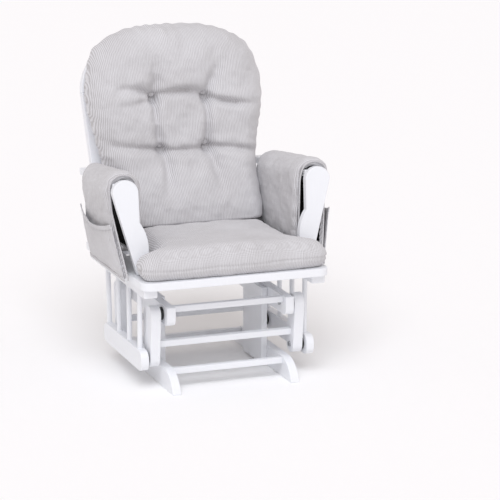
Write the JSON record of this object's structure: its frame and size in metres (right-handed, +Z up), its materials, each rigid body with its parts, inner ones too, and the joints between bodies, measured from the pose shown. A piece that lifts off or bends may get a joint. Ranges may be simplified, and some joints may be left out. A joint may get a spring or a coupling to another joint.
{
  "type": "glider nursery chair",
  "caption": "White wooden glider chair on a fixed base, its cushioned seat hung on swinging links, with a buttoned back cushion and padded arms with side pockets",
  "frame": {"origin": "on the floor, under the middle of the whole chair", "axes": "+Z up and the longest way of the chair, -Y the way the sitter faces, +X to the right of someone looking at the chair's front; left and right in the node names are that viewer's"},
  "size_m": [0.7, 0.6969, 0.9955],
  "materials": {
    "white_wood": "satin white paint",
    "bearing_black": "matte",
    "bolt_steel": "zinc plated",
    "cushion_linen": "ribbed linen weave",
    "pad_linen": "ribbed linen weave"
  },
  "bodies": {
    "base": {"left_foot": "white_wood", "left_hanger_beam": "white_wood", "left_post": "white_wood", "right_foot": "white_wood", "right_hanger_beam": "white_wood", "right_post": "white_wood", "front_upper_rail": "white_wood", "front_lower_rail": "white_wood", "rear_upper_rail": "white_wood", "rear_lower_rail": "white_wood", "upper_pivot_bolts": "bolt_steel"},
    "front_links": {"left_front_link": "white_wood", "right_front_link": "white_wood", "front_link_rail": "white_wood", "front_upper_bearings": "bearing_black", "front_lower_bolts": "bolt_steel"},
    "rear_links": {"left_rear_link": "white_wood", "right_rear_link": "white_wood", "rear_link_rail": "white_wood", "rear_upper_bearings": "bearing_black", "rear_lower_bolts": "bolt_steel"},
    "seat": {"lower_bearings": "bearing_black", "left_lower_side_rail": "white_wood", "left_upper_side_rail": "white_wood", "left_spindles": "white_wood", "right_lower_side_rail": "white_wood", "right_upper_side_rail": "white_wood", "right_spindles": "white_wood", "seat_front_rail": "white_wood", "left_seat_side_rail": "white_wood", "right_seat_side_rail": "white_wood", "seat_rear_rail": "white_wood", "seat_slats": "white_wood", "left_arm_post": "white_wood", "left_armrest": "white_wood", "left_back_stile": "white_wood", "right_arm_post": "white_wood", "right_armrest": "white_wood", "right_back_stile": "white_wood", "back_top_rail": "white_wood", "back_low_rail": "white_wood", "back_slats": "white_wood", "seat_cushion": "cushion_linen", "back_cushion": "cushion_linen", "cushion_buttons": "cushion_linen", "left_arm_pad": "pad_linen", "left_pad_pocket": "pad_linen", "right_arm_pad": "pad_linen", "right_pad_pocket": "pad_linen"}
  },
  "joints": [
    {"name": "front_swing", "type": "hinge", "parent": "base", "child": "front_links", "pos_m": [0, -0.231, 0.222], "axis": [1, 0, 0], "range_deg": [-16, 16]},
    {"name": "rear_swing", "type": "hinge", "parent": "base", "child": "rear_links", "pos_m": [0, 0.087, 0.222], "axis": [1, 0, 0], "range_deg": [-16, 16]},
    {"name": "seat_hang", "type": "hinge", "parent": "front_links", "child": "seat", "pos_m": [0, -0.218, 0.088], "axis": [1, 0, 0], "range_deg": [-17.6, 17.6]}
  ],
  "couplings": [
    {"joint": "rear_swing", "follows": "front_swing", "ratio": 1},
    {"joint": "seat_hang", "follows": "front_swing", "ratio": -1.0876}
  ]
}
